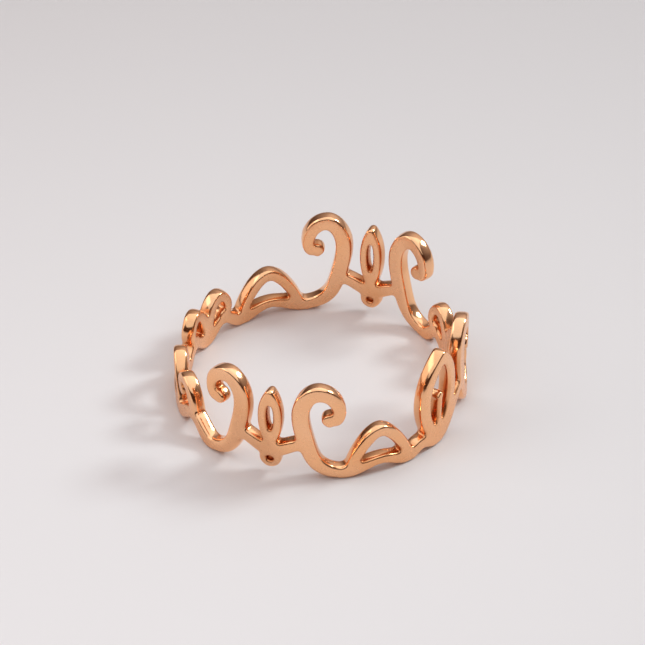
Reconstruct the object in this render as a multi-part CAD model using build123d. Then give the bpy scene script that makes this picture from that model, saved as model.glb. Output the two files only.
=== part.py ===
from build123d import *
from build123d.topology import SkipClean
from collections import namedtuple
from math import cos, pi, radians, sin, tan
import os

# An openwork finger ring, cast in one piece and resting on its lower edge.
# The band is a running scroll that is pierced right through. Front and back have a pair of volutes
# round a slender petal with a drop bead. A waving rail joins them to a large veined petal, to low
# arches and to curls.
# Millimetres, +Z up. The axis of the finger is Z and the surface it rests on is z = 0.
# Angles are in degrees, from the front (-Y) towards the right (+X).

# Driving sizes
finger_diameter = 17.3  # clear bore for the finger
wall = 0.9              # thickness of the band, measured towards the finger
line_weight = 1.0       # width of a full scroll line, seen from outside
low_height = 3.65       # top of the low arches and curls
tall_height = 7.2       # top of the volutes and the petal
sole_depth = 0.04       # how far the lowest curves are ground flat, so that the ring stands

inner_radius = finger_diameter / 2
outer_radius = inner_radius + wall
middle_radius = inner_radius + wall / 2
degree = radians(1) * middle_radius  # length of one degree, halfway through the wall
edge_step = 0.4 * line_weight        # spacing of the points that carry a curve round the band
edge_piece = 2.5 * line_weight       # a longer curve is carried round in pieces of about this
low_rise = low_height - line_weight
tall_rise = tall_height - line_weight

# The rail between the motifs. angle: a crest or a trough. lift: the height of its lower edge as a
# share of low_height. weight: its width as a share of line_weight. A lift of 0 is a resting place.
Knot = namedtuple("Knot", "angle lift weight")
RAILS = [
    [Knot(-33.5, 0.62, 0.85), Knot(-20, 0.4, 1.0), Knot(-6.5, 0.62, 0.85)],
    [Knot(3, 0.12, 0.6), Knot(9, 0, 1.0), Knot(24, 0.17, 0.72), Knot(37, 0, 1.0),
     Knot(43.5, 0.12, 0.9), Knot(52, 0, 1.1), Knot(72, 0.62, 0.85)],
    [Knot(83, 0.12, 0.6), Knot(89, 0, 1.0), Knot(99.5, 0.24, 0.85), Knot(110, 0, 1.0),
     Knot(120.5, 0.24, 0.85), Knot(129, 0, 1.0), Knot(135, 0.12, 0.6)],
    [Knot(144.5, 0.62, 0.85), Knot(158, 0.4, 1.0), Knot(171.5, 0.62, 0.85)],
    [Knot(181, 0.12, 0.6), Knot(187, 0, 1.0), Knot(203, 0.17, 0.72), Knot(216.5, 0, 1.0),
     Knot(227, 0.24, 0.85), Knot(238, 0, 1.0), Knot(249, 0.24, 0.85), Knot(259.5, 0, 1.0),
     Knot(272.5, 0.16, 0.72), Knot(285.5, 0, 1.0), Knot(299.5, 0.3, 0.85), Knot(311, 0, 1.0),
     Knot(317, 0.12, 0.6)],
]

# The forms of the motifs. path: the middle line of one stroke, across as a share of the motif's
# span and up as a share of its rise. start, middle, end: its width there as shares of line_weight.
# ball: the diameter of the round ball that it ends in, as a share of line_weight, or 0 for none.
Stroke = namedtuple("Stroke", "path start middle end ball", defaults=[0])
VOLUTE = [
    Stroke([(0, 0), (0.2, 0.01), (0.58, 0.1), (0.85, 0.36), (0.99, 0.66), (0.92, 0.87),
            (0.6, 1), (0.27, 0.94), (0.1, 0.79), (0.15, 0.67), (0.33, 0.67)],
           0.8, 1.15, 0.7, ball=1.0),
]
PETAL = [
    Stroke([(0, 0), (-0.33, 0.20), (-0.5, 0.5), (-0.36, 0.8), (0, 1)], 0.9, 0.92, 0.85),
    Stroke([(0, 0), (0.33, 0.20), (0.5, 0.5), (0.36, 0.8), (0, 1)], 0.9, 0.88, 0.85),
]
VEIN = [Stroke([(0, 0), (0.02, 0.35), (0, 1)], 0.65, 0.5, 0.45, ball=0.65)]
CURL = [
    Stroke([(0, 0), (0.1, 0.45), (0.32, 0.86), (0.6, 1), (0.9, 0.8), (0.94, 0.52), (0.75, 0.43)],
           0.85, 0.85, 0.6, ball=0.85),
]
ARCH = [Stroke([(-0.5, 0), (-0.34, 0.54), (0, 1), (0.34, 0.54), (0.5, 0)], 0.7, 0.85, 0.7)]
BEAD = [
    Stroke([(0, 1), (-0.38, 0.82), (-0.5, 0.48), (-0.34, 0.12), (-0.05, 0), (0.18, 0.04)],
           0.5, 0.5, 0.5),
    Stroke([(0, 1), (0.38, 0.82), (0.5, 0.48), (0.34, 0.12), (0.05, 0), (-0.18, 0.04)],
           0.5, 0.5, 0.5),
]

# Where each motif stands. angle and lift: its foot, lift as a share of low_height. span: its width
# in degrees, negative when it faces left. rise: its height as a share of the rise that the table
# is for. lean: how far it leans to the right, in degrees. weight: makes all its strokes finer.
Motif = namedtuple("Motif", "form angle lift span rise lean weight")
LOW_MOTIFS = [
    Motif(ARCH, 24, 0.07, 25, 1, 0, 1),
    Motif(CURL, 110, 0, 14.5, 1.06, 0, 0.95),
    Motif(CURL, 110, 0, -14.5, 1.06, 0, 0.95),
    Motif(ARCH, 203, 0.07, 27, 1, 0, 1),
    Motif(CURL, 238, 0, 14.5, 1.06, 0, 0.95),
    Motif(CURL, 238, 0, -14.5, 1.06, 0, 0.95),
    Motif(ARCH, 272.5, 0.07, 24.5, 1, 0, 1),
    Motif(CURL, 300, 0.32, -14, 0.7, 0, 0.95),
]
TALL_MOTIFS = [
    Motif(VOLUTE, -49, 0.03, 17, 1, 0, 1),
    Motif(PETAL, -20, 0.56, 6.3, 0.62, 0, 0.7),
    Motif(BEAD, -20, 0.17, 6, 0.155, 0, 1),
    Motif(VOLUTE, 9, 0.03, -17, 1, 0, 1),
    Motif(PETAL, 52, 0.035, 17.3, 0.99, 5, 1),
    Motif(VEIN, 52, 0.1, 17.3, 0.5, 5, 1),
    Motif(VOLUTE, 89, 0.03, -17, 1, 0, 1),
    Motif(VOLUTE, 129, 0.03, 17, 1.05, 0, 1),
    Motif(PETAL, 158, 0.56, 6.3, 0.68, 0, 0.7),
    Motif(BEAD, 158, 0.17, 6, 0.155, 0, 1),
    Motif(VOLUTE, 187, 0.03, -17, 1.05, 0, 1),
]

# Angles where only the rail, or the rail and the top of an arch, crosses from one sector of the
# flat drawing to the next. The first and the last are the same place on the ring.
JOINTS = (-54, -13.2, 24, 40, 92, 127, 164.8, 203, 220, 256, 306)


def ribbon_face(right, left, start_tip, end_tip):
    """The face between two smooth sides, with a round end at each tip."""
    return make_face([Spline(*right), ThreePointArc(right[-1], end_tip, left[-1]),
                      Spline(*left), ThreePointArc(left[0], start_tip, right[0])])


def rail_face(rail):
    """A rail: a half wave from each knot to the next one, level at every knot."""
    steps = 6
    lower, upper = [], []
    places = [(*pair, step / steps) for pair in zip(rail, rail[1:]) for step in range(steps)]
    for start, end, along in places + [(rail[-2], rail[-1], 1)]:
        share = (1 - cos(pi * along)) / 2
        span = (end.angle - start.angle) * degree
        bottom = (start.lift + (end.lift - start.lift) * share) * low_height
        width = (start.weight + (end.weight - start.weight) * share) * line_weight
        slope = (end.lift - start.lift) * low_height / span * pi / 2 * sin(pi * along)
        middle = Vector(start.angle * degree + span * along, bottom + width / 2)
        half_width = Vector(-slope, 1).normalized() * width / 2
        lower.append(middle - half_width)
        upper.append(middle + half_width)
    start_tip, end_tip = [(lower[end] + upper[end]) / 2
                          + Vector(facing * rail[end].weight * line_weight / 2, 0)
                          for end, facing in ((0, -1), (-1, 1))]
    return ribbon_face(lower, upper, start_tip, end_tip)


def stroke_face(points, start, middle, end):
    """A stroke with two round ends along a smooth middle line, start, middle and end wide."""
    line = Spline(*points)
    steps = 2 * (len(points) - 1)
    right, left = [], []
    for step in range(steps + 1):
        along = step / steps
        width = (start * (1 - along) * (1 - 2 * along) + middle * 4 * along * (1 - along)
                 + end * along * (2 * along - 1))
        side = (line % along).rotate(Axis.Z, 90) * width / 2
        right.append(line @ along - side)
        left.append(line @ along + side)
    return ribbon_face(right, left, line @ 0 - (line % 0) * start / 2,
                       line @ 1 + (line % 1) * end / 2)


def motif_faces(motif, full_rise):
    """The faces of one motif, standing on the flat drawing of the band."""
    faces = []
    for stroke in motif.form:
        foot = Vector(motif.angle * degree,
                      motif.lift * low_height + stroke.start * line_weight / 2)
        points = []
        for across, up in stroke.path:
            point = Vector(across * motif.span * degree, up * motif.rise * full_rise)
            points.append(foot + point.rotate(Axis.Z, -motif.lean))
        start, middle, end, ball = [share * motif.weight * line_weight for share in stroke[1:]]
        faces.append(stroke_face(points, start, middle, end))
        if ball:
            faces.append(Pos(points[-1]) * Circle(ball / 2))
    return faces


def carried_edges(edge, middle, distance):
    """An edge of the flat drawing, in pieces, seen from the axis on a plane at this distance."""
    pieces = max(1, round(edge.length / edge_piece))
    steps = max(2, round(edge.length / pieces / edge_step))
    if edge.geom_type == GeomType.LINE:
        pieces, steps = 1, 1
    carried = []
    for piece in range(pieces):
        points, tangents = [], []
        for step in range(steps + 1):
            along = (piece + step / steps) / pieces
            flat, direction = edge @ along, edge % along
            turn = radians(flat.X / degree - middle)
            points.append(Vector(distance * tan(turn), -distance, flat.Y))
            stretch = distance / (middle_radius * cos(turn) ** 2)
            tangents.append(Vector(direction.X * stretch, 0, direction.Y))
        if steps == 1:
            carried.append(Line(*points))
        else:
            carried.append(Spline(*points, tangents=[tangents[0], tangents[-1]]))
    return carried


def wedge(wire, middle, half_span):
    """The solid behind a closed wire of the flat drawing, turned to the front, with all its sides
    facing the axis."""
    near = (inner_radius - wall / 2) * cos(radians(half_span))
    far = outer_radius + wall / 2
    sections = [Wire([piece for edge in wire.edges()
                      for piece in carried_edges(edge, middle, distance)])
                for distance in (near, far)]
    return Solid.make_loft(sections, ruled=True)


drawing = Sketch()
for rail in RAILS:
    drawing += rail_face(rail)
# The last rail is drawn once more, a turn earlier, where it runs into the first volute.
drawing += Pos(-360 * degree, 0) * rail_face(RAILS[-1])
for motifs, full_rise in ((LOW_MOTIFS, low_rise), (TALL_MOTIFS, tall_rise)):
    for motif in motifs:
        drawing += motif_faces(motif, full_rise)

# The uncut band stands on z = 0, so that its flat lower face grinds the soles level.
uncut_height = 2 * tall_height
uncut_band = (Solid.make_cylinder(outer_radius, uncut_height)
              - Solid.make_cylinder(inner_radius, uncut_height))

sectors = []
for first, last in zip(JOINTS, JOINTS[1:]):
    middle, half_span = (first + last) / 2, (last - first) / 2
    window = Pos(first * degree, -line_weight) * Rectangle(2 * half_span * degree, uncut_height,
                                                           align=Align.MIN)
    for face in (Pos(0, -sole_depth) * (drawing & window)).faces():
        sector = wedge(face.outer_wire(), middle, half_span)
        for hole in face.inner_wires():
            sector -= wedge(hole, middle, half_span)
        sectors.append((sector & uncut_band).rotate(Axis.Z, middle))
with SkipClean():
    ring_band = sectors[0].fuse(*sectors[1:])

os.makedirs("parts", exist_ok=True)
export_step(ring_band, "parts/ring_band.step")
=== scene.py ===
import math
from typing import NamedTuple

import bpy
import numpy as np
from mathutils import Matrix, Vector, geometry, kdtree, noise


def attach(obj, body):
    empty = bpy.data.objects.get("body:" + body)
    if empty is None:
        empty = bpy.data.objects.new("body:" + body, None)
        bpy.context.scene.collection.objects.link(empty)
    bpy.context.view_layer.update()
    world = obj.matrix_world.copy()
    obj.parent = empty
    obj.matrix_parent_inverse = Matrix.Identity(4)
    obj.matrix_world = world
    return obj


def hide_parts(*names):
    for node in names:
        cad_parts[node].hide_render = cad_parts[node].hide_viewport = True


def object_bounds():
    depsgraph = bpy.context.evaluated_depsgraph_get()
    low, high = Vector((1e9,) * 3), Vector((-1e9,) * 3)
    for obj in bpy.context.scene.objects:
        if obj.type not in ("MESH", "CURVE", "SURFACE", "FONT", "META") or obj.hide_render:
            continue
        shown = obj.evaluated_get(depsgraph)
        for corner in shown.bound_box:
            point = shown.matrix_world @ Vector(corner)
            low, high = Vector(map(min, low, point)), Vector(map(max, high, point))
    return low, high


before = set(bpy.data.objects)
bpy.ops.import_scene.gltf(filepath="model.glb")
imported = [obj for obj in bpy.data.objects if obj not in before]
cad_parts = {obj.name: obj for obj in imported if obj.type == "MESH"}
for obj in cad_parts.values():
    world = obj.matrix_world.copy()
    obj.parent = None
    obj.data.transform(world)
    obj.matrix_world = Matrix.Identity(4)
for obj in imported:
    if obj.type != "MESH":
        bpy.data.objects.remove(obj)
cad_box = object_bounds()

bl_info = {
    "name": "Openwork Ring",
    "version": (1, 0, 0),
    "blender": (4, 5, 0),
    "location": "3D View > Sidebar > Openwork Ring",
    "description": "Finishes an openwork finger ring as a polished casting on a pale surface",
    "category": "Object",
}

BAND_NODE = "ring_band"
WHOLE_TURN = 2 * math.pi

# How the mesh of the band is worked out.
WELD = 1e-7            # corners of the casting closer than this, in metres, are one corner
FEWEST_POINTS = 24     # the smallest outline has at least this many points
DRAWING_MARGIN = 12    # empty cells kept round the band in the drawing
BULGE_SHARE = 0.7      # share of the radius of a sharp bulge that the rounded edge may take up
EASING_ROUNDS = 6      # how often the reach of the rounded edge is evened out along an outline
GRID_CLEARANCE = 0.6   # room from the rounded edge to the face grid, as a share of its spacing
POLISH_SEED = 7        # seed of the waviness of hand polishing

# The finish of the metal. The patches are counted along one metre.
TONE_PATCHES = 300.0     # redder and paler plating
TONE_CONTRAST = 1.2      # how far its tone swings, as a share of the noise's own swing
SMEAR_PATCHES = 1500.0   # smears that the polishing wheel left
SMEAR_CONTRAST = 0.36    # how far they change the roughness, as a share of it
GRAIN_PATCHES = 16000.0  # satin grain
SATIN_POWER = 6.0        # how quickly the satin of a round face gives way to the bright edge

# The pale surface: patches along one metre, and how light the shaded ones are.
SURFACE_PATCHES = 22.0
SURFACE_SHADE = 0.965

# The softboxes: where each stands, the point it faces, the side of its square and its colour.
RING_MIDDLE = (0, 0, 0.003)
SOFTBOXES = {
    "key": ((0.242, 0.08, 0.215), RING_MIDDLE, 0.085, (0.85, 0.98, 1.0)),
    "front": ((-0.028, -0.036, 0.07), (-0.028, -0.036, 0), 0.15, (0.92, 0.98, 1.0)),
    "left": ((-0.27, 0.0, 0.14), RING_MIDDLE, 0.26, (1.0, 0.92, 0.87)),
}

# The light tent: the direction of its bright side, and how bright the cloth is by how nearly a
# direction points that way, from 0 for square to it to 1 for straight at it.
TENT_BRIGHT_SIDE = (0.45, 0.55, 0.70)
TENT_LEVELS = [(0.0, 0.0), (0.4, 0.14), (0.8, 0.48), (0.97, 1.0)]

# Where the camera stands: its distance, its angle above the surface, its focal length in pixels
# and the pixel that shows the origin, in a picture of 645 by 645 pixels.
PICTURE_SIDE = 645
CAMERA_DISTANCE = 0.260
CAMERA_ELEVATION = math.radians(37.5)
CAMERA_FOCAL_PIXELS = 3981
ORIGIN_PIXEL = (320.7, 388.6)


class RingShapeSettings(bpy.types.PropertyGroup):
    """How the edges of the casting were rounded by the polisher."""

    edge_inset: bpy.props.FloatProperty(
        name="Edge Inset", description="How far a rounded edge reaches into the round faces",
        default=0.0002, min=0.00002, max=0.0003, unit="LENGTH", subtype="DISTANCE", precision=5)
    edge_power: bpy.props.FloatProperty(
        name="Edge Power", description="2 gives the wall a round section, more a squarer one",
        default=2.7, min=2.0, max=8.0)
    edge_rings: bpy.props.IntProperty(
        name="Edge Rings", description="Rows of faces from a round face to the middle of the wall",
        default=5, min=2, max=12)
    fillet: bpy.props.FloatProperty(
        name="Fillet", description="How softly the crotch between two scrolls is filled",
        default=0.00009, min=0.00002, max=0.0003, unit="LENGTH", subtype="DISTANCE", precision=5)
    outline_step: bpy.props.FloatProperty(
        name="Outline Step", description="Spacing of the mesh along the edge of each scroll",
        default=0.00007, min=0.00003, max=0.0005, unit="LENGTH", subtype="DISTANCE", precision=6)
    face_step: bpy.props.FloatProperty(
        name="Face Step", description="Spacing of the mesh on the round faces",
        default=0.00022, min=0.00008, max=0.001, unit="LENGTH", subtype="DISTANCE", precision=5)
    cell: bpy.props.FloatProperty(
        name="Cell", description="Fineness of the drawing that the outlines are softened on",
        default=0.00004, min=0.00002, max=0.0002, unit="LENGTH", subtype="DISTANCE", precision=6)
    # The gap reach also sets how far the painted shade in the gaps spreads.
    gap_reach: bpy.props.FloatProperty(
        name="Gap Reach", description="How near another wall has to be to keep the polish out",
        default=0.0004, min=0.0001, max=0.00045, unit="LENGTH", subtype="DISTANCE", precision=5)
    waviness: bpy.props.FloatProperty(
        name="Waviness", description="How far hand polishing left the metal from true",
        default=0.000012, min=0.0, max=0.0001, unit="LENGTH", subtype="DISTANCE", precision=6)
    waviness_length: bpy.props.FloatProperty(
        name="Waviness Length", description="Distance between the crests of that waviness",
        default=0.0024, min=0.0005, max=0.01, unit="LENGTH", subtype="DISTANCE", precision=4)


class RoseGoldSettings(bpy.types.PropertyGroup):
    """The colour and finish of the rose gold."""

    pale: bpy.props.FloatVectorProperty(
        name="Pale", description="Reflected colour of the freshly polished metal",
        default=(1.0, 0.60, 0.36), size=3, subtype="COLOR", min=0, max=1)
    deep: bpy.props.FloatVectorProperty(
        name="Deep", description="Reflected colour where the plating is a little redder",
        default=(0.94, 0.455, 0.20), size=3, subtype="COLOR", min=0, max=1)
    # Painted shade: this darker colour is laid deep in the gaps, where shade falls between the walls.
    painted_gap_shade: bpy.props.FloatVectorProperty(
        name="Dull", description="Reflected colour deep in the gaps, where no polishing wheel reaches",
        default=(0.66, 0.26, 0.10), size=3, subtype="COLOR", min=0, max=1)
    face_roughness: bpy.props.FloatProperty(
        name="Face Roughness", description="Roughness of the satin round faces",
        default=0.27, min=0, max=1, subtype="FACTOR")
    wall_roughness: bpy.props.FloatProperty(
        name="Wall Roughness", description="Roughness of the bright cut walls and edges",
        default=0.15, min=0, max=1, subtype="FACTOR")
    grain: bpy.props.FloatProperty(
        name="Grain", description="Depth of the fine satin grain on the round faces",
        default=0.0000007, min=0, max=0.00002, unit="LENGTH", subtype="DISTANCE", precision=7)


class StageSettings(bpy.types.PropertyGroup):
    """The surface that the ring stands on and the studio light."""

    floor_colour: bpy.props.FloatVectorProperty(
        name="Floor Colour", description="Colour of the pale surface",
        default=(0.775, 0.729, 0.734), size=3, subtype="COLOR", min=0, max=1)
    floor_side: bpy.props.FloatProperty(
        name="Floor Side", description="Side of the square surface",
        default=1.6, min=0.1, max=10, unit="LENGTH", subtype="DISTANCE")
    key_power: bpy.props.FloatProperty(
        name="Key Power", description="Power of the softbox high on the right",
        default=0.49, min=0, max=50, unit="POWER")
    front_power: bpy.props.FloatProperty(
        name="Front Power", description="Power of the softbox above the front",
        default=0.067, min=0, max=50, unit="POWER")
    left_power: bpy.props.FloatProperty(
        name="Left Power", description="Power of the softbox on the left",
        default=0.23, min=0, max=50, unit="POWER")
    tent_white: bpy.props.FloatVectorProperty(
        name="Tent White", description="Colour of the lit cloth of the light tent",
        default=(1.0, 0.92, 0.91), size=3, subtype="COLOR", min=0, max=1)
    tent_shade: bpy.props.FloatVectorProperty(
        name="Tent Shade", description="Colour of the open side of the light tent",
        default=(0.08, 0.034, 0.02), size=3, subtype="COLOR", min=0, max=1)
    tent: bpy.props.FloatProperty(
        name="Tent", description="Brightness of the light tent",
        default=0.7, min=0, max=5)


class ShaderValue:
    """A shader socket that takes part in Python expressions. Each operator adds its Math node."""

    def __init__(self, tree, socket=None):
        self.tree = tree
        self.socket = socket

    def node(self, kind, settings=None, inputs=None, output=0):
        """Adds any node: its settings are set first, then its sockets, with values or links."""
        made = self.tree.nodes.new(kind)
        for name, value in (settings or {}).items():
            if name == "ramp":
                self.set_ramp(made.color_ramp, value)
            else:
                setattr(made, name, value)
        for name, value in (inputs or {}).items():
            if isinstance(value, ShaderValue):
                self.tree.links.new(value.socket, made.inputs[name])
            else:
                made.inputs[name].default_value = value
        return ShaderValue(self.tree, made.outputs[output] if made.outputs else None)

    @staticmethod
    def set_ramp(ramp, stops):
        """Gives a colour ramp its stops, a list of places and grey levels."""
        while len(ramp.elements) < len(stops):
            ramp.elements.new(1.0)
        for element, (place, level) in zip(ramp.elements, stops):
            element.position = place
            element.color = (level, level, level, 1)

    def math(self, operation, first, second):
        return self.node("ShaderNodeMath", {"operation": operation}, {0: first, 1: second})

    def mix(self, first, second):
        """The colour that is first where this value is 0 and second where it is 1."""
        return self.node("ShaderNodeMix", {"data_type": "RGBA"},
                         {"Factor": self, 6: first, 7: second}, output=2)

    def __add__(self, other):
        return self.math("ADD", self, other)

    def __radd__(self, other):
        return self.math("ADD", other, self)

    def __sub__(self, other):
        return self.math("SUBTRACT", self, other)

    def __rsub__(self, other):
        return self.math("SUBTRACT", other, self)

    def __mul__(self, other):
        return self.math("MULTIPLY", self, other)

    def __rmul__(self, other):
        return self.math("MULTIPLY", other, self)

    def __pow__(self, other):
        return self.math("POWER", self, other)

    def __rpow__(self, other):
        return self.math("POWER", other, self)


class Drawing(NamedTuple):
    """The flat band on a grid, which says how deep each of its points lies in the metal, negative
    outside it. One column follows another round the ring, and the rows start below the band."""

    depth: np.ndarray  # by column and row
    step: float        # from one column to the next
    cell: float        # from one row to the next
    bottom: float      # height of the first row

    def depth_at(self, places):
        """The depth at the point of the grid nearest to each of these places."""
        column = np.round(places[:, 0] / self.step).astype(int) % len(self.depth)
        row = np.round((places[:, 1] - self.bottom) / self.cell).astype(int)
        return self.depth[column, row]

    def softened(self, softness):
        """The drawing, blurred by this distance. It runs on from its last column to its first."""
        waves = np.fft.rfft2(self.depth)
        across = np.fft.fftfreq(self.depth.shape[0])[:, None] * (softness / self.step)
        up = np.fft.rfftfreq(self.depth.shape[1])[None, :] * (softness / self.cell)
        waves *= np.exp(-(across ** 2 + up ** 2) * WHOLE_TURN ** 2 / 2)
        return self._replace(depth=np.fft.irfft2(waves, s=self.depth.shape))


def outline_loops(mesh):
    """The closed outlines of the outer round face, each an array of places with the metal on the
    left as seen from outside, and the radii of the inner and the outer face."""
    places = np.empty(len(mesh.vertices) * 3)
    mesh.vertices.foreach_get("co", places)
    corners = np.empty(len(mesh.loops), int)
    mesh.loops.foreach_get("vertex_index", corners)
    places, index = np.unique(np.round(places.reshape(-1, 3) / WELD), axis=0, return_inverse=True)
    places *= WELD
    triangles = index.reshape(-1)[corners].reshape(-1, 3)
    radii = np.hypot(places[:, 0], places[:, 1])
    inner_radius, outer_radius = radii.min(), radii.max()
    slack = (outer_radius - inner_radius) / 100  # still on the outer face
    outer = triangles[(radii[triangles] > outer_radius - slack).all(axis=1)]
    edges = {(a, b) for tri in outer.tolist() for a, b in zip(tri, tri[1:] + tri[:1])}
    following = {a: b for a, b in edges if (b, a) not in edges}
    loops = []
    while following:
        first, place = following.popitem()
        loop = [first]
        while place != first:
            loop.append(place)
            place = following.pop(place)
        loops.append(places[loop])
    return loops, inner_radius, outer_radius


def unrolled(loop, radius):
    """An outline on the flat band, as distance round the ring and height, closed: its last point
    is its first one again, one turn further if it runs right round the ring."""
    angles = np.unwrap(np.arctan2(loop[:, 0], -loop[:, 1]))
    last = np.unwrap([angles[-1], np.arctan2(loop[0, 0], -loop[0, 1])])[1]
    run = round((last - angles[0]) / WHOLE_TURN) * WHOLE_TURN * radius
    points = np.column_stack([angles * radius, loop[:, 2]])
    return np.vstack([points, points[:1] + (run, 0)])


def evenly(line, spacing):
    """Points along a line of straight pieces, about this far apart, with both its ends."""
    along = np.concatenate([[0], np.cumsum(np.hypot(*np.diff(line, axis=0).T))])
    places = np.linspace(0, along[-1], max(FEWEST_POINTS, round(along[-1] / spacing)) + 1)
    return np.column_stack([np.interp(places, along, line[:, k]) for k in (0, 1)])


def metal_drawing(lines, turn, cell):
    """The drawing of the metal that these outlines enclose, on a flat band one turn long."""
    margin = DRAWING_MARGIN * cell
    columns = math.ceil(turn / cell)
    step = turn / columns
    bottom = min(line[:, 1].min() for line in lines) - margin
    rows = math.ceil((max(line[:, 1].max() for line in lines) + margin - bottom) / cell)
    crossings = np.zeros((columns, rows), int)
    samples = []
    for line in lines:
        start, end = line[:-1], line[1:]
        before, after = np.floor(start[:, 0] / step), np.floor(end[:, 0] / step)
        for i in np.flatnonzero(before != after):
            for column in range(int(min(before[i], after[i])) + 1,
                                int(max(before[i], after[i])) + 1):
                share = (column * step - start[i, 0]) / (end[i, 0] - start[i, 0])
                height = start[i, 1] + (end[i, 1] - start[i, 1]) * share
                crossings[column % columns, math.ceil((height - bottom) / cell)] += 1
        flat = np.column_stack([start[:, 0] % turn, start[:, 1]])
        samples += [flat, flat[flat[:, 0] < margin] + (turn, 0),
                    flat[flat[:, 0] > turn - margin] - (turn, 0)]
    inside = np.cumsum(crossings, axis=1) % 2 == 1
    samples = np.vstack(samples)
    tree = kdtree.KDTree(len(samples))
    for index, (across, up) in enumerate(samples):
        tree.insert((across, up, 0), index)
    tree.balance()
    depth = np.array([[tree.find((column * step, bottom + row * cell, 0))[2]
                       for row in range(rows)] for column in range(columns)])
    return Drawing(np.where(inside, depth, -depth), step, cell, bottom)


def contour_lines(drawing):
    """The closed lines where the depth is 0, with the metal on their left, closed as above."""
    grid = drawing.depth
    columns = len(grid)
    inside = grid > 0
    mixed = inside ^ np.roll(inside, -1, 0)
    mixed[:, :-1] |= inside[:, :-1] ^ inside[:, 1:]
    mixed |= np.roll(mixed, -1, 0)
    mixed[:, :-1] |= mixed[:, 1:]
    following = {}
    for column, row in zip(*np.nonzero(mixed[:, :-1])):
        right = (column + 1) % columns
        corners = [(column, row), (right, row), (right, row + 1), (column, row + 1)]
        sides = [(column, row, 0), (right, row, 1), (column, row + 1, 0), (column, row, 1)]
        metal = [inside[corner] for corner in corners]
        full = sum(grid[corner] for corner in corners) > 0
        for k in range(4):
            if metal[k] and not metal[(k + 1) % 4]:
                turns = (1, 2, 3) if full else (3, 2, 1)
                last = next((k + turn) % 4 for turn in turns
                            if not metal[(k + turn) % 4] and metal[(k + turn + 1) % 4])
                following[sides[k]] = sides[last]
    lines = []
    while following:
        first, side = following.popitem()
        chain = [first]
        while side != first:
            chain.append(side)
            side = following.pop(side)
        points = []
        for column, row, upright in chain + [first]:
            here = grid[column, row]
            there = grid[column, row + 1] if upright else grid[(column + 1) % columns, row]
            share = here / (here - there)
            across = (column + (0 if upright else share)) * drawing.step
            if points:
                turn = columns * drawing.step
                across += round((points[-1][0] - across) / turn) * turn
            up = row + (share if upright else 0)
            points.append((across, drawing.bottom + up * drawing.cell))
        lines.append(np.array(points))
    return lines


def fair_outline(line, softness, spacing):
    """A closed line as evenly spaced points, less its finest waves, the directions into the metal
    there, and how sharply the metal bulges there, as one over the radius."""
    dense = evenly(line, spacing / 2)
    total = np.hypot(*np.diff(dense, axis=0).T).sum()
    run = dense[-1] - dense[0]
    points = dense[:-1]
    share = np.arange(len(points))[:, None] / len(points)
    series = np.fft.rfft(points - share * run, axis=0)
    wave = np.arange(len(series))[:, None] * WHOLE_TURN / total
    series *= np.exp(-(softness * wave) ** 2 / 2)
    count = max(FEWEST_POINTS, round(total / spacing))
    kept = min(len(series), count // 2)
    scale = count / len(points)
    fair, slope, bend = [np.fft.irfft(series[:kept] * (1j * wave[:kept]) ** order, n=count, axis=0)
                         * scale for order in (0, 1, 2)]
    fair += np.arange(count)[:, None] / count * run
    slope += run / total
    speed = np.hypot(*slope.T)
    bulge = (slope[:, 0] * bend[:, 1] - slope[:, 1] * bend[:, 0]) / speed ** 3
    return fair, np.column_stack([-slope[:, 1], slope[:, 0]]) / speed[:, None], bulge


def gentle_inset(full, bulge):
    """How far in the rounding of the edge reaches at each point of an outline: all the way, but
    less where the metal bulges so sharply that the rounded edge would cross itself."""
    inset = np.minimum(full, BULGE_SHARE / np.maximum(bulge, 1e-6))
    for _ in range(EASING_ROUNDS):
        inset = np.minimum(inset, (np.roll(inset, 1) + inset + np.roll(inset, -1)) / 3)
    return inset


def closed_in(drawing, points, inward, reach):
    """How near another wall faces each point of an outline, from 0 in the open to 1 in a crotch."""
    return np.clip(1 + drawing.depth_at(points - inward * reach) / reach, 0, 1)


def edge_section(rings, power):
    """The section of the wall with its two rounded edges, from the outer face to the inner one:
    how far in from the outline and how far from the middle of the band, both as shares."""
    half = []
    for turn in np.linspace(math.pi / 2, 0, rings + 1):
        half.append((1 - math.cos(turn) ** (2 / power), math.sin(turn) ** (2 / power)))
    return half + [(inset, -depth) for inset, depth in half[-2::-1]]


def seamless(places, radius):
    """The flat band bent into a flat ring with no seam, which keeps the form of its triangles."""
    scale = np.exp(places[:, 1] / radius)
    angle = places[:, 0] / radius
    return np.column_stack([scale * np.cos(angle), scale * np.sin(angle)])


def metal_triangles(flat, following):
    """Triangles between the points of the flat ring that cover the metal only, on the right of the
    outlines, which lead from each of their points to the following one. The ring shows the band
    from inside, so the triangles run clockwise in it."""
    within_outlines, nearness = 1, 1e-7
    made = geometry.delaunay_2d_cdt([Vector(point) for point in flat], list(following.items()), [],
                                    within_outlines, nearness)
    if len(made[0]) != len(flat):
        raise RuntimeError("the rounded edges of the ring cross each other")
    triangles = np.array([ids[0] for ids in made[3]])[np.array(made[2])]
    a, b, c = (flat[triangles[:, k]] for k in range(3))
    across, up = (b - a).T, (c - a).T
    turned = across[0] * up[1] - across[1] * up[0] > 0
    triangles[turned] = triangles[turned][:, ::-1]
    owner = {(a, b): (a, b, c) for tri in triangles.tolist()
             for a, b, c in (tri, tri[1:] + tri[:1], tri[2:] + tri[:2])}
    waiting = [owner[edge] for edge in following.items()]
    metal = set()
    while waiting:
        a, b, c = waiting.pop()
        name = min((a, b, c), (b, c, a), (c, a, b))
        if name not in metal:
            metal.add(name)
            waiting += [owner[end, start] for start, end in ((a, b), (b, c), (c, a))
                        if following.get(start) != end]
    return np.array(sorted(metal))


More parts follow.
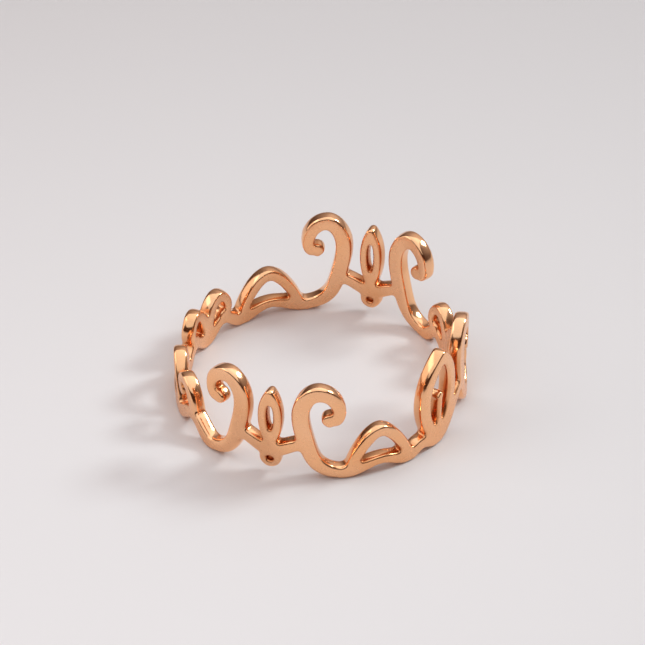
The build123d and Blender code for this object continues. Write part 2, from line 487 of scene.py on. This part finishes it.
def face_grid(drawing, spacing, clearance):
    """Staggered points on the round face of the band, well clear of its edges."""
    columns, rows = drawing.depth.shape
    turn = drawing.step * columns
    across_count = round(turn / spacing)
    top = drawing.bottom + drawing.cell * (rows - 1)
    found = []
    for line, height in enumerate(np.arange(drawing.bottom, top, spacing * math.sqrt(3) / 2)):
        across = (np.arange(across_count) + line % 2 / 2) * turn / across_count
        places = np.column_stack([across, np.full(across_count, height)])
        found.append(places[drawing.depth_at(places) > clearance])
    return np.vstack(found)


def bent_round(places, radius, depth):
    """Points of the flat band in space, depth outside its middle radius."""
    angle = places[:, 0] / radius
    reach = radius + depth
    return np.column_stack([reach * np.sin(angle), -reach * np.cos(angle), places[:, 1]])


def hand_polished(places, amount, length):
    """The places, moved a little by soft waves, which differ in X, Y and Z."""
    noise.seed_set(POLISH_SEED)
    moved = places.copy()
    for row, place in enumerate(places):
        moved[row] += np.array(noise.noise_vector(Vector(place) / length)) * amount
    return moved


def band_mesh(shape):
    """The casting as one closed mesh: its two round faces, each triangulated inside its outlines,
    and the walls with their rounded edges between them, in rings that follow each outline. With
    it, how closed in the metal is at each point."""
    loops, inner_radius, outer_radius = outline_loops(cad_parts[BAND_NODE].data)
    middle_radius = (inner_radius + outer_radius) / 2
    half_wall = (outer_radius - inner_radius) / 2 - shape.waviness
    lines = [evenly(unrolled(loop, middle_radius), shape.cell / 2) for loop in loops]
    drawing = metal_drawing(lines, WHOLE_TURN * middle_radius, shape.cell).softened(shape.fillet)
    outlines, inwards, insets, gaps, following = [], [], [], [], []
    for line in contour_lines(drawing):
        fair, inward, bulge = fair_outline(line, shape.cell, shape.outline_step)
        first = sum(len(outline) for outline in outlines)
        following.append(first + np.roll(np.arange(len(fair)), -1))
        outlines.append(fair)
        inwards.append(inward)
        insets.append(gentle_inset(shape.edge_inset, bulge))
        gaps.append(closed_in(drawing, fair, inward, shape.gap_reach))
    outline, following = np.vstack(outlines), np.concatenate(following)
    inward = np.vstack(inwards) * np.concatenate(insets)[:, None]
    count = len(outline)

    section = edge_section(shape.edge_rings, shape.edge_power)
    rings = [bent_round(outline + inward * inset, middle_radius, out * half_wall)
             for inset, out in section]
    grid = face_grid(drawing, shape.face_step,
                     shape.edge_inset + shape.face_step * GRID_CLEARANCE)
    flat = seamless(np.vstack([outline + inward, grid]), middle_radius)
    triangles = metal_triangles(flat, dict(enumerate(following.tolist())))
    last_ring = (len(section) - 1) * count
    more = len(section) * count - count
    outer = np.where(triangles < count, triangles, triangles + more)
    inner = np.where(triangles < count, triangles + last_ring, triangles + more + len(grid))
    faces = outer.tolist() + inner[:, ::-1].tolist()
    for ring in range(len(section) - 1):
        here, there = ring * count, (ring + 1) * count
        faces += [[here + j, here + i, there + i, there + j]
                  for i, j in enumerate(following.tolist())]
    places = np.vstack([*rings, bent_round(grid, middle_radius, half_wall),
                        bent_round(grid, middle_radius, -half_wall)])
    places = hand_polished(places, shape.waviness, shape.waviness_length)
    places[:, 2] = np.clip(places[:, 2], cad_box[0][2], cad_box[1][2])  # no wave stands proud
    gap = np.concatenate([np.tile(np.concatenate(gaps), len(section)), np.zeros(2 * len(grid))])
    return places, faces, gap


def rose_gold(settings):
    """Rose gold: satin on the round faces, bright on the walls and edges, rougher in the gaps, and
    darker there as painted shade. Its tone and its polish both vary a little."""
    material = bpy.data.materials.new("rose_gold")
    material.use_nodes = True
    tree = material.node_tree
    tree.nodes.clear()
    board = ShaderValue(tree)
    place = board.node("ShaderNodeTexCoord", output=3)
    face = board.node("ShaderNodeAttribute", {"attribute_name": "face_share"},
                      output=2) ** SATIN_POWER
    tone = board.node("ShaderNodeTexNoise", {"noise_dimensions": "3D"},
                      {"Vector": place, "Scale": TONE_PATCHES, "Detail": 1.0, "Roughness": 0.4})
    smear = board.node("ShaderNodeTexNoise", {"noise_dimensions": "3D"},
                       {"Vector": place, "Scale": SMEAR_PATCHES, "Detail": 1.5, "Roughness": 0.5})
    grain = board.node("ShaderNodeTexNoise", {"noise_dimensions": "3D"},
                       {"Vector": place, "Scale": GRAIN_PATCHES, "Detail": 2.0, "Roughness": 0.6})
    # Painted shade: the gap mask darkens the colour towards the gap shade in crotches and narrow gaps,
    # where shade falls. It also makes the metal rougher there, where the polish reaches less.
    gap = board.node("ShaderNodeAttribute", {"attribute_name": "gap"}, output=2) * (1 - face)
    redness = tone * TONE_CONTRAST + (1 - TONE_CONTRAST) / 2
    colour = gap.mix(redness.mix((*settings.pale, 1), (*settings.deep, 1)), (*settings.painted_gap_shade, 1))
    satin = settings.face_roughness - settings.wall_roughness
    roughness = (face + gap) * satin + settings.wall_roughness
    roughness *= smear * SMEAR_CONTRAST + (1 - SMEAR_CONTRAST / 2)
    bump = board.node("ShaderNodeBump", None,
                      {"Strength": 1.0, "Distance": settings.grain, "Height": grain * face})
    metal = board.node("ShaderNodeBsdfPrincipled", None, {
        "Base Color": colour, "Metallic": 1.0, "Roughness": roughness, "Normal": bump})
    board.node("ShaderNodeOutputMaterial", None, {"Surface": metal})
    return material


def pale_surface(settings):
    """The matt pale surface, with a very faint unevenness of tone."""
    material = bpy.data.materials.new("pale_surface")
    material.use_nodes = True
    tree = material.node_tree
    tree.nodes.clear()
    board = ShaderValue(tree)
    place = board.node("ShaderNodeTexCoord", output=3)
    tone = board.node("ShaderNodeTexNoise", {"noise_dimensions": "3D"},
                      {"Vector": place, "Scale": SURFACE_PATCHES, "Detail": 2.0, "Roughness": 0.4})
    shade = tuple(level * SURFACE_SHADE for level in settings.floor_colour)
    colour = tone.mix((*settings.floor_colour, 1), (*shade, 1))
    paper = board.node("ShaderNodeBsdfPrincipled", None, {
        "Base Color": colour, "Roughness": 0.5, "Specular IOR Level": 0.3})
    board.node("ShaderNodeOutputMaterial", None, {"Surface": paper})
    return material


def mesh_piece(name, places, faces, material):
    """A smooth shaded mesh object, linked to the scene."""
    mesh = bpy.data.meshes.new(name)
    mesh.from_pydata([tuple(place) for place in places], [], faces)
    if mesh.validate():
        raise RuntimeError(f"the mesh of {name} has faces that Blender can't use")
    mesh.polygons.foreach_set("use_smooth", [True] * len(mesh.polygons))
    mesh.materials.append(material)
    piece = bpy.data.objects.new(name, mesh)
    bpy.context.scene.collection.objects.link(piece)
    return piece


def softbox(name, place, aim, side, colour, power):
    """A square area light that faces a point."""
    lamp = bpy.data.lights.new(name, "AREA")
    lamp.shape = "SQUARE"
    lamp.size = side
    lamp.energy = power
    lamp.color = colour
    light = bpy.data.objects.new(name, lamp)
    light.location = place
    light.visible_camera = False
    light.rotation_mode = "QUATERNION"
    light.rotation_quaternion = (Vector(aim) - Vector(place)).to_track_quat("-Z", "Y")
    bpy.context.scene.collection.objects.link(light)


def light_tent(settings):
    """The light tent round the ring: white behind it on the right, dim and warm in front."""
    world = bpy.data.worlds.new("light_tent")
    world.use_nodes = True
    tree = world.node_tree
    tree.nodes.clear()
    board = ShaderValue(tree)
    direction = board.node("ShaderNodeTexCoord", output=0)
    towards = board.node("ShaderNodeVectorMath", {"operation": "DOT_PRODUCT"},
                         {0: direction, 1: TENT_BRIGHT_SIDE}, output=1)
    light = board.node("ShaderNodeValToRGB", {"ramp": TENT_LEVELS}, {0: towards})
    glow = board.node("ShaderNodeBackground", None, {
        "Color": light.mix((*settings.tent_shade, 1), (*settings.tent_white, 1)),
        "Strength": settings.tent})
    board.node("ShaderNodeOutputWorld", None, {"Surface": glow})
    return world


class SCROLL_OT_ring_band(bpy.types.Operator):
    """Builds the openwork band as one polished casting"""

    bl_idname = "scroll.ring_band"
    bl_label = "Ring Band"

    def execute(self, context):
        scene = context.scene
        places, faces, gap = band_mesh(scene.ring_shape)
        piece = mesh_piece("polished_band", places, faces, rose_gold(scene.rose_gold))
        mesh = piece.data
        normals = np.array([normal.vector for normal in mesh.vertex_normals])
        radial = places[:, :2] / np.linalg.norm(places[:, :2], axis=1)[:, None]
        share = np.abs((normals[:, :2] * radial).sum(axis=1))
        mesh.attributes.new("face_share", "FLOAT", "POINT").data.foreach_set("value", share)
        mesh.attributes.new("gap", "FLOAT", "POINT").data.foreach_set("value", gap)
        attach(piece, "root")
        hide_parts(BAND_NODE)
        return {"FINISHED"}


class SCROLL_OT_stage(bpy.types.Operator):
    """Lays the pale surface, sets the soft studio light and stands the camera"""

    bl_idname = "scroll.stage"
    bl_label = "Stage"

    def execute(self, context):
        scene = context.scene
        stage = scene.ring_stage
        half = stage.floor_side / 2
        corners = [(-half, -half, 0), (half, -half, 0), (half, half, 0), (-half, half, 0)]
        mesh_piece("floor", corners, [(0, 1, 2, 3)], pale_surface(stage))
        powers = {"key": stage.key_power, "front": stage.front_power, "left": stage.left_power}
        for name, power in powers.items():
            softbox(name, *SOFTBOXES[name], power)
        scene.world = light_tent(stage)
        scene.view_settings.view_transform = "Standard"
        lens = bpy.data.cameras.new("camera")
        lens.sensor_width = 36
        lens.lens = CAMERA_FOCAL_PIXELS / PICTURE_SIDE * lens.sensor_width
        lens.shift_x = 0.5 - ORIGIN_PIXEL[0] / PICTURE_SIDE
        lens.shift_y = ORIGIN_PIXEL[1] / PICTURE_SIDE - 0.5
        lens.clip_start = 0.01
        camera = bpy.data.objects.new("camera", lens)
        camera.location = (0, -CAMERA_DISTANCE * math.cos(CAMERA_ELEVATION),
                           CAMERA_DISTANCE * math.sin(CAMERA_ELEVATION))
        camera.rotation_euler = (math.pi / 2 - CAMERA_ELEVATION, 0, 0)
        scene.collection.objects.link(camera)
        scene.camera = camera
        return {"FINISHED"}


class VIEW3D_PT_scroll_ring(bpy.types.Panel):
    """Lists the pieces of the ring and what can be changed"""

    bl_label = "Openwork Ring"
    bl_space_type = "VIEW_3D"
    bl_region_type = "UI"
    bl_category = "Openwork Ring"

    def draw(self, context):
        scene = context.scene
        for operator, settings in ((SCROLL_OT_ring_band, scene.ring_shape),
                                   (None, scene.rose_gold),
                                   (SCROLL_OT_stage, scene.ring_stage)):
            box = self.layout.box()
            for name in settings.__annotations__:
                box.prop(settings, name)
            if operator:
                box.operator(operator.bl_idname)


CLASSES = (RingShapeSettings, RoseGoldSettings, StageSettings,
           SCROLL_OT_ring_band, SCROLL_OT_stage, VIEW3D_PT_scroll_ring)


def register():
    for item in CLASSES:
        bpy.utils.register_class(item)
    bpy.types.Scene.ring_shape = bpy.props.PointerProperty(type=RingShapeSettings)
    bpy.types.Scene.rose_gold = bpy.props.PointerProperty(type=RoseGoldSettings)
    bpy.types.Scene.ring_stage = bpy.props.PointerProperty(type=StageSettings)


def unregister():
    del bpy.types.Scene.ring_stage
    del bpy.types.Scene.rose_gold
    del bpy.types.Scene.ring_shape
    for item in reversed(CLASSES):
        bpy.utils.unregister_class(item)


def main():
    register()
    bpy.ops.scroll.ring_band()
    bpy.ops.scroll.stage()


if __name__ == "__main__":
    main()
